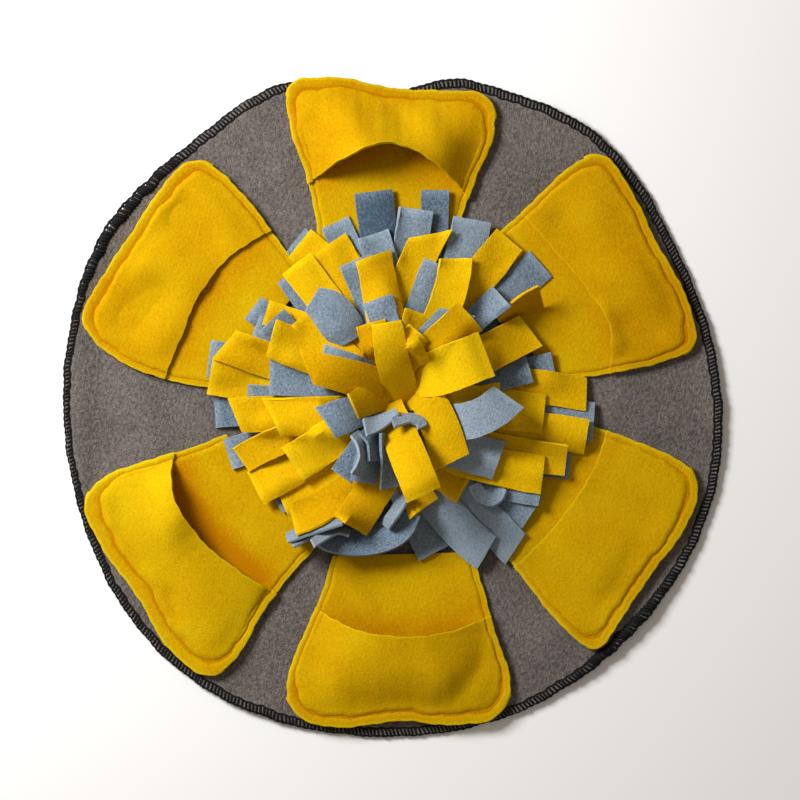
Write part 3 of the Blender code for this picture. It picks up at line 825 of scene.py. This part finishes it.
def border_painted_light(border, to_edge):
    """Painted shade outside the seam and in its groove, with a painted highlight at the raw edge.
    """
    border_painted_shade = BORDER_PAINTED_SHADE * smooth_step((1.25 - border) / 0.3)
    border_painted_shade += GROOVE_PAINTED_SHADE * np.exp(-((border - 1) * END_SEAM / GROOVE_WIDTH) ** 2)
    return border_painted_shade + RAW_EDGE_PAINTED_HIGHLIGHT * smooth_step((1.6 - to_edge) / 1.2)


def panel_grid(pocket):
    """Underside of the back panel, from right to left and from its inner end outwards."""
    along, across = pocket_shares(*PANEL_GRID)
    x, y, to_edge, border, _half = pocket_place(pocket, across, along, INNER_OUT)
    z = panel_height(x, y) + np.maximum(PANEL_RISE + border_height(border, x - y, 3.0) * 0.5, 0)
    mouth = through(ACROSS, pocket.mouth[::-1], across)
    out = x * math.cos(math.radians(pocket.bearing)) + y * math.sin(math.radians(pocket.bearing))
    reach = np.minimum(out - mouth, 0) / MOUTH_SHADE_REACH
    shade = MOUTH_SHADE.get(pocket.name, USUAL_MOUTH_SHADE) * np.exp(-reach ** 2)
    tone = border_painted_light(border, to_edge) + shade * (1 - across ** 4)
    return np.stack([x, y, z], -1)[:, ::-1], tone[:, ::-1]


def flap_grid(pocket):
    """Underside of the flap, from right to left and from its mouth outwards."""
    along, across = pocket_shares(*FLAP_GRID)
    mouth = through(ACROSS, pocket.mouth[::-1], across)
    mouth += RAW_EDGE * ripple(across * 60.0, 5.0, RAW_EDGE_WAVES)
    x, y, to_edge, border, half = pocket_place(pocket, across, along, mouth)
    lying = panel_height(x, y) + PANEL_THICKNESS + LAYER_GAP + PANEL_RISE
    inside = np.maximum(to_edge - SEAM_WIDTH, 0.0)
    lean = 1 + pocket.lean * (1 - across * across) * across
    arch = np.sin(math.pi / 2 * np.clip(inside / (half - SEAM_WIDTH), 0, 1))
    arch = arch ** ARCH_POWER.get(pocket.name, 1.0) * lean
    belly = smooth_step(inside / 30.0)
    mouth_share = (1 - along) ** 1.6
    rise = pocket.mouth_rise * arch * mouth_share
    rise += pocket.belly_rise * belly * (1 - mouth_share)
    rise += fold_height(FOLDS[pocket.name], x, y) * smooth_step(inside / 14.0)
    z = lying + np.maximum(rise + border_height(border, x - y, pocket.bearing), 0.0)
    tone = border_painted_light(border, np.minimum(to_edge, (along + 0.008) * MOUTH_EDGE_SCALE))
    # Painted light and shade of the whole flap.
    tone += FLAP_PAINTED_LIGHT_AND_SHADE.get(pocket.name, 0.0)
    return np.stack([x, y, z], -1)[:, ::-1], tone[:, ::-1]


def dress_pocket(pocket):
    panel, flap = (
        cloth_object(f"{part}_{pocket.name}", [grid], PANEL_THICKNESS, materials["yellow"], [tone])
        for part, (grid, tone) in (("back", panel_grid(pocket)), ("flap", flap_grid(pocket))))
    for piece, node, length, held, under in (
            (panel, "pocket_back_", PANEL_CUT_END - INNER_OUT, "laid", base.name),
            (flap, "pocket_flap_", FLAP_CUT_END - min(pocket.mouth), "draped", panel.name)):
        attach(piece, "root")
        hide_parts(node + pocket.name)


for pocket in POCKETS:
    dress_pocket(pocket)
print("pocket pieces:", 2 * len(POCKETS))

# %% [markdown]
# ## Strips
#
# The mop is made of strips cut 25 mm wide and gathered at their roots. Each strip is placed by
# the middle of its tip and the way the tip points, because that is what can be seen. From there
# it bends round to the knot. The strips are listed in tiers, from those that lie lowest to the
# few that lie on top. A plain row is a strip's colour, x, y, heading and width, then the slant
# of its cut, its roll and its straight run. A ribbon is a strip that curls or stands on its
# edge. It has stations instead, each with x, y, the rise over what lies below, width and turn.

# %% Strip table
Strip = namedtuple("Strip", "colour x y heading width cut roll run crest crest_at tone",
                   defaults=(0, 0, 0, None, None, None))
Ribbon = namedtuple("Ribbon", "colour tone stations bow cut", defaults=(0, 0))
Tier = namedtuple("Tier", "root_height crest crest_at root_width gather strips")
BLUE, YELLOW = "blue", "yellow"
# A tone given in a row is painted light and shade: it makes that strip or ribbon lighter or darker
# to stand for how the light falls on it.
TIERS = (
    Tier(4, 8, 0.35, 8, 38, (
        # Painted shadow: these two blue strips are darkened.
        Strip(BLUE, -13, 147, 97, 25, tone=-0.45), Strip(BLUE, 29, 148, 90, 19, tone=-0.25),
        (BLUE, -125, 33, 173, 25), (BLUE, -95, 68, 143, 19), (BLUE, -93, 55, 160, 18, 0, 35),
        (BLUE, -66, 114, 141, 20), (BLUE, -39, 126, 115, 21), (BLUE, 137, -10, -4, 26),
        (BLUE, 121, -39, -5, 20), (BLUE, -121, -2, 184, 24), (BLUE, -112, -32, 198, 22),
        (BLUE, 95, -72, -33, 24), (BLUE, 29, -99, -63, 24), (BLUE, 101, 98, 41, 23),
        (BLUE, 110, 27, 12, 22), (BLUE, 101, -54, -8, 26), (BLUE, -80, -64, 215, 20),
        (BLUE, -69, -91, 207, 20, 0, 60),
        Ribbon(BLUE, -0.15, ((10, -69, 10, 22, 25), (4, -81, 9, 25, 30), (-9, -88, 8, 26, 32),
            (-28, -90, 7, 26, 32), (-44, -90, 6, 20, 40), (-52, -89, 4, 14, 60))),
        Ribbon(BLUE, 0.2, ((-71, -89, 3, 9, -45), (-62, -86, 4, 12, -62), (-50, -82, 4, 13, -65),
            (-34, -77, 3, 13, -65))),
        Ribbon(BLUE, 0.3, ((-54, -92, 3, 9, -50), (-45, -87, 4, 11, -58), (-37, -84, 4, 10, -62),
            (-29, -86, 3, 8, -60))),
    )),
    Tier(5, 12, 0.4, 8, 38, (
        (BLUE, 16, 135, 82, 24), (BLUE, 54, 128, 80, 26), (BLUE, -13, 118, 108, 22),
        (YELLOW, -124, 22, 170, 26), (YELLOW, -114, 43, 160, 24, -20), (YELLOW, 132, -20, -9, 22),
        (YELLOW, 132, 9, -10, 23, 8), (YELLOW, 118, -36, -7, 22), (YELLOW, 80, 114, 50, 24),
        (YELLOW, -63, 112, 141, 23),
        Ribbon(YELLOW, -0.2, ((73, 58, 2, 22, 72), (81, 66, 5, 24, 66), (90, 71, 8, 26, 58),
            (101, 75, 9, 27, 50))),
        # Painted light: this blue strip is lightened against the shade of the heap.
        Strip(BLUE, 84, -96, -45, 24, 13, crest=8, tone=0.35), (YELLOW, -75, -65, 203, 24),
        (YELLOW, -68, -76, 197, 22), (YELLOW, -93, -55, 209, 24),
    )),
    Tier(7, 17, 0.45, 9, 36, (
        (YELLOW, -43, 111, 125, 26), (BLUE, -68, 92, 126, 24), (YELLOW, -65, 98, 127, 23),
        (YELLOW, -86, 64, 165, 18, 0, 20), (BLUE, -82, 59, 133, 21), (BLUE, -99, 4, 176, 24),
        (BLUE, -86, -19, 190, 20), (YELLOW, -107, -5, 183, 23, 20),
        (YELLOW, -103, -36, 215, 20, 0, 0, 28), (YELLOW, 103, -4, -6, 26), (BLUE, 93, 27, 16, 20),
        (BLUE, 74, 76, 42, 18), (YELLOW, 26, 118, 62, 24, 38), (BLUE, 33, 97, 68, 24),
        # Painted light: this blue strip is lightened against the shade of the heap.
        Strip(BLUE, 64, -99, -38, 25, 8, 0, 58, crest=11, tone=0.35),
        Ribbon(BLUE, 0.15, ((55, -52, 1, 10, -40), (59, -59, 2, 11, -35), (66, -63, 2, 11, -35),
            (72, -61, 2, 10, -40), (75, -55, 1, 9, -40))),
        (YELLOW, 49, -55, -30, 22), (YELLOW, 22, -68, -60, 22, 7), (YELLOW, 102, -46, -7, 26),
    )),
    Tier(8, 25, 0.6, 11, 36, (
        (BLUE, -25, 100, 114, 24), (YELLOW, -13, 103, 101, 23, 9),
        (YELLOW, 43, 101, 88, 23, 4, 0, 32), (YELLOW, 94, 52, 27, 26, 10),
        Strip(BLUE, -83, 21, 178, 25, crest_at=0.5),
        Strip(YELLOW, -82, 47, 158, 24, 7, crest_at=0.5),
        Strip(YELLOW, -82, -6, 182, 25, 26, crest_at=0.5), (YELLOW, 73, 4, 3, 24),
        Ribbon(YELLOW, 0.15, ((6, 7, 0, 18, 0), (16, 8, 1, 19, 0), (26, 9, 1, 20, 0),
            (36, 9, 1, 20, 0)), 0.8),
        # Painted light: this blue strip is lightened against the shade of the heap.
        Strip(BLUE, 72, -36, -14, 26, -7, tone=0.35),
        Ribbon(BLUE, 0.15, ((10, -58, 4, 14, 60), (4, -69, 4, 14, 62), (-4, -80, 3, 14, 58))),
        (YELLOW, -29, -80, 233, 24, 6), Strip(YELLOW, -60, 63, 133, 22, crest=14, crest_at=0.5),
        (YELLOW, 18, 64, 73, 20), (YELLOW, -50, -5, 182, 25),
        # Painted light: this yellow strip is lightened.
        Strip(YELLOW, -68, -38, 212, 26, crest_at=0.5, tone=0.3),
    )),
    Tier(12, 38, 0.85, 14, 38, (
        Ribbon(BLUE, 0.05, ((-28, 45, -6, 22, 0), (-34, 55, 4, 26, 0), (-43, 66, 7, 25, 0),
            (-54, 73, 4, 16, 0)), 5),
        (BLUE, -10, 73, 110, 20), (BLUE, -48, 33, 163, 20), (BLUE, 44, 64, 42, 20, 35),
        # Painted light on the strips at (63, 36) and (78, 7), painted shade on the one at (-15,
        # 57).
        (YELLOW, 52, 62, 42, 24), Strip(YELLOW, 63, 36, 21, 32, tone=0.4),
        Strip(YELLOW, -15, 57, 105, 20, crest=28, tone=-0.3), (YELLOW, 17, 51, 50, 16),
        (YELLOW, 21, 40, 35, 15), Strip(BLUE, 78, 7, 45, 25, 10, 0, 42, tone=0.35),
        Ribbon(YELLOW, 0.05, ((24, 5, 1, 22, 0), (28, -3, 2, 24, 0), (33, -15, 3, 25, 0),
            (37, -27, 2, 25, 0), (40, -37, 1, 25, 0)), 1.5, 10),
        (BLUE, -45, -10, 200, 23, 15), (BLUE, -34, -46, 235, 16), (BLUE, -20, -50, 258, 16),
        Ribbon(BLUE, -0.25, ((-19, -15, 3, 16, -50), (-14, -22, 4, 16, -58),
            (-13, -30, 4, 15, -60), (-13, -36, 3, 14, -60))),
        Ribbon(BLUE, 0.1, ((-26, -18, 5, 15, -66), (-22, -24, 6, 16, -68), (-20, -32, 6, 16, -66),
            (-22, -39, 5, 16, -66), (-25, -45, 3, 15, -60))),
        Ribbon(BLUE, 0, ((-7, -17, 6, 16, -76), (-6, -26, 6, 17, -70), (-3, -39, 5, 18, -54),
            (-1, -54, 3, 19, -35))),
    )),
    Tier(20, 50, 0.9, 20, 34, (
        Ribbon(YELLOW, -0.05, ((0, 6, 0, 15, 0), (-9, 7, 1, 18, -8), (-18, 5, 2, 20, -16),
            (-27, 1, 2, 19, -24)), 2.5),
        Ribbon(YELLOW, -0.2, ((-5, 15, 1, 22, -16), (-21, 19, 3, 24, -18), (-36, 23, 5, 23, -18),
            (-48, 26, 6, 22, -18), (-57, 28, 7, 21, -16)), 2, 34),
        Ribbon(YELLOW, 0.1, ((7, 4, 0, 21, 0), (4, 19, 2, 22, 0), (0, 32, 3, 22, 0),
            (-2, 45, 3, 21, 0), (-4, 57, 1, 19, 0)), 1.5),
        (YELLOW, 21, -58, -68, 24, 4),
        Ribbon(BLUE, 0.3, ((-19, -14, 4, 16, -42), (-11, -12, 5, 16, -50), (-3, -8, 6, 14, -58),
            (4, -3, 6, 11, -70))),
        Ribbon(BLUE, 0.2, ((0, -11, 2, 9, -40), (6, -9, 4, 10, -50), (12, -8, 4, 10, -52),
            (18, -10, 3, 9, -44), (20, -14, 1, 8, -30))),
    )),
)
print("strips:", sum(len(tier.strips) for tier in TIERS))

# %% [markdown]
# ### A map of heights
#
# To lay a strip on the strips below it, one has to know how high they come at each place. A
# square map with a cell for every millimetre keeps the top of everything laid so far. A cloth
# simulation of ninety strips in a tight heap would take many minutes and drift away from the
# places that were measured. A map takes a second and keeps every tip where it belongs.

# %% Height map
MAP_REACH = 235
MAP_LAST = 2 * MAP_REACH


class HeightMap:
    """The top of all that has been laid so far."""

    def __init__(self):
        self.top = np.full((MAP_LAST + 1, MAP_LAST + 1), BASE_THICKNESS)

    def cells(self, x, y):
        i = np.clip(np.rint(x).astype(int) + MAP_REACH, 0, MAP_LAST)
        j = np.clip(np.rint(y).astype(int) + MAP_REACH, 0, MAP_LAST)
        return i, j

    def read(self, x, y):
        """The highest top in the cell and its eight neighbours."""
        i, j = self.cells(x, y)
        highest = self.top[i, j]
        for di in (-1, 0, 1):
            for dj in (-1, 0, 1):
                beside = self.top[np.clip(i + di, 0, MAP_LAST), np.clip(j + dj, 0, MAP_LAST)]
                highest = np.maximum(highest, beside)
        return highest

    def lay(self, grid, thickness, finer):
        """Raises the map to the top of a sheet; finer is the number of steps in a grid face."""
        for u in np.linspace(0, 1, finer + 1):
            for v in np.linspace(0, 1, finer + 1):
                near = grid[:-1, :-1] * (1 - v) + grid[:-1, 1:] * v
                far = grid[1:, :-1] * (1 - v) + grid[1:, 1:] * v
                place = near * (1 - u) + far * u
                i, j = self.cells(place[..., 0], place[..., 1])
                np.maximum.at(self.top, (i, j), place[..., 2] + thickness)


heights = HeightMap()
for pocket in POCKETS:
    for pocket_cloth, _tone in (panel_grid(pocket), flap_grid(pocket)):
        heights.lay(pocket_cloth, PANEL_THICKNESS, 2)
print(f"highest pocket: {heights.top.max():.1f} mm")

# %% [markdown]
# ### Laying the strips
#
# Each strip starts as an arch from the knot to its tip. It is then smoothed like a taut skin
# while it sinks under its weight, and pushed back up wherever it meets what lies below. After
# some rounds it drapes over its neighbours as soft cloth does. A slight cupping, a wavy cut
# edge and a tone of its own make each strip an individual.

# %% Laying rules
KNOT = np.array([2.0, 4.0])
ROOT_SPREAD = 9.0
FLARE = 42.0
STRIP_THICKNESS = 1.9
STRIP_AIR = 0.25
STRIP_GRID = (26, 11)
SETTLING_ROUNDS = 60
SINK_PER_ROUND = 0.1
CLIMB = 1.6
CREST_VARIES = (0.85, 1.15)
BOW = (-1.4, 2.4)
TIP_LIFT = (-1.0, 3.0)
TONES = (-0.16, 0.16)
chance = np.random.default_rng(7)


def cut_slant(share, cut):
    """How far the grid runs ahead for each millimetre to the side, where the tip is cut aslant."""
    return math.tan(math.radians(cut)) * smooth_step((share - 0.75) / 0.25)


def strip_plan(strip, tier):
    """Plan places of a strip's grid, and the share of its length and of its half width."""
    rows, columns = STRIP_GRID
    tip = np.array([strip.x, strip.y], float)
    aim = np.array([math.cos(math.radians(strip.heading)), math.sin(math.radians(strip.heading))])
    reach = (tip - KNOT) @ aim
    run = strip.run or 0.6 * reach
    bend = tip - aim * run
    aside = bend - KNOT if strip.run else tip - aim * reach - KNOT
    aside_length = np.linalg.norm(aside)
    root = KNOT + aside / max(aside_length, 1e-6) * min(aside_length, ROOT_SPREAD)
    length = np.linalg.norm(bend - root) + run
    t = np.linspace(0, 1, rows)[:, None]
    side = finer_at_ends(columns)[None, :]
    middle = root * (1 - t) ** 2 + bend * 2 * t * (1 - t) + tip * t * t
    ahead = (bend - root) * (1 - t) + (tip - bend) * t
    ahead /= np.linalg.norm(ahead, axis=1, keepdims=True)
    left = np.stack([-ahead[:, 1], ahead[:, 0]], -1)
    width = tier.root_width + (strip.width - tier.root_width) * smooth_step(t * length / FLARE)
    lean = math.radians(strip.roll) * smooth_step((t - 0.3) / 0.6)
    wobble = 0.25 * ripple(t * length, strip.x, (5.0, 11.0, 23.0)) * side
    across = side * width / 2 * np.cos(lean) + wobble
    slide = -cut_slant(t, strip.cut) * side * width / 2
    x = middle[:, :1] + left[:, :1] * across + ahead[:, :1] * slide
    y = middle[:, 1:] + left[:, 1:] * across + ahead[:, 1:] * slide
    rise = np.maximum(side * np.sign(strip.roll or 1), -1.0) * width * np.sin(np.abs(lean)) / 2
    return x, y, t, side, rise + width * np.sin(np.abs(lean)) / 2, length


def free_line(t, root, crest, crest_at):
    """The height of a strip that meets nothing: up from the knot, over its crest, and down."""
    climb = np.sin(math.pi / 2 * np.clip(t / crest_at, 0, 1)) ** CLIMB
    fall = np.cos(math.pi / 2 * np.clip((t - crest_at) / max(1 - crest_at, 0.3), 0, 1))
    return root + (crest - root) * np.where(t < crest_at, climb, fall)


def lay_strip(strip, tier):
    """The underside of a strip on what lies below it; the map then holds it too."""
    x, y, t, side, lean_rise, length = strip_plan(strip, tier)
    gathered = np.hypot(x - KNOT[0], y - KNOT[1]) < tier.gather
    floor_height = np.where(gathered, 0.0, heights.read(x, y) + STRIP_AIR)
    crest = tier.crest * chance.uniform(*CREST_VARIES)
    free = free_line(t, tier.root_height, strip.crest or crest,
                     strip.crest_at or tier.crest_at) + 0 * side
    lowest = np.maximum(floor_height, free)
    z = lowest.copy()
    for _ in range(SETTLING_ROUNDS):
        around = np.pad(z, 1, mode="edge")
        smooth = (around[:-2, 1:-1] + around[2:, 1:-1] + around[1:-1, :-2] + around[1:-1, 2:]) / 4
        z = np.maximum(0.5 * (z + smooth) - SINK_PER_ROUND, lowest)
    bow = chance.uniform(*BOW)
    cupping = bow * (1 - side ** 2) if bow > 0 else -bow * side ** 2
    curl = chance.uniform(*TIP_LIFT) * smooth_step((t - 0.6) / 0.4) ** 2
    z = z + cupping * smooth_step(t / 0.4) + curl + lean_rise
    grid = np.stack([x, y, z], -1)
    heights.lay(grid, STRIP_THICKNESS, 5)
    return grid


def lay_ribbon(ribbon):
    """A strip that stands on its edge or curls, laid along its own line."""
    rows, columns = STRIP_GRID
    last = len(ribbon.stations) - 1
    t = np.linspace(0, last, rows)
    x, y, rise, width, turn = (
        through(range(last + 1), column, t) for column in zip(*ribbon.stations))
    ahead = np.stack([np.gradient(x), np.gradient(y)], -1)
    ahead /= np.linalg.norm(ahead, axis=1, keepdims=True)
    side = finer_at_ends(columns)[None, :] * width[:, None] / 2
    turn = np.radians(turn)[:, None]
    ground = heights.read(x, y)
    trend = np.polyval(np.polyfit(t, ground, 2), t)
    ground = trend + 0.5 * (ground - trend).max()
    bowed = ribbon.bow * (1 - finer_at_ends(columns) ** 2)
    z = np.maximum((ground + rise)[:, None] + side * np.sin(turn) + bowed, BASE_THICKNESS + 1)
    across = side * np.cos(turn)
    slide = -cut_slant(t[:, None] / last, ribbon.cut) * side
    grid = np.stack([x[:, None] - ahead[:, 1:] * across + ahead[:, :1] * slide,
                     y[:, None] + ahead[:, :1] * across + ahead[:, 1:] * slide, z], -1)
    heights.lay(grid, STRIP_THICKNESS, 5)
    return grid


laid = {BLUE: [], YELLOW: []}
tones = {BLUE: [], YELLOW: []}
for strip_tier in TIERS:
    for piece in strip_tier.strips:
        if isinstance(piece, Ribbon):
            grid = lay_ribbon(piece)
        else:
            piece = Strip(*piece)
            grid = lay_strip(piece, strip_tier)
        laid[piece.colour].append(grid)
        # Strips without a given tone get a random one; a given tone is painted light and shade.
        tones[piece.colour].append(chance.uniform(*TONES) if piece.tone is None else piece.tone)
print(f"strips laid, top at {heights.top.max():.1f} mm")

# %% [markdown]
# ### Cloth for the strips
#
# The strips of one colour become one object, so that the mop is two pieces of cloth in all. A
# grid whose left side runs the wrong way would be thickened downwards, so the columns run from
# the right edge to the left.


for colour, material_name, slot_name in ((BLUE, "blue_strip", "blue_fleece"),
                                         (YELLOW, "yellow_strip", "yellow_fleece")):
    strips = cloth_object(f"{colour}_strips", [grid[:, ::-1] for grid in laid[colour]],
                          STRIP_THICKNESS, materials[material_name],
                          [strip_tone(STRIP_GRID, level) for level in tones[colour]])
    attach(strips, "root")
    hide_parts("tuft")

# %% [markdown]
# ## Finish
#
# The view layer is brought up to date.

# %% Finish
bpy.context.view_layer.update()
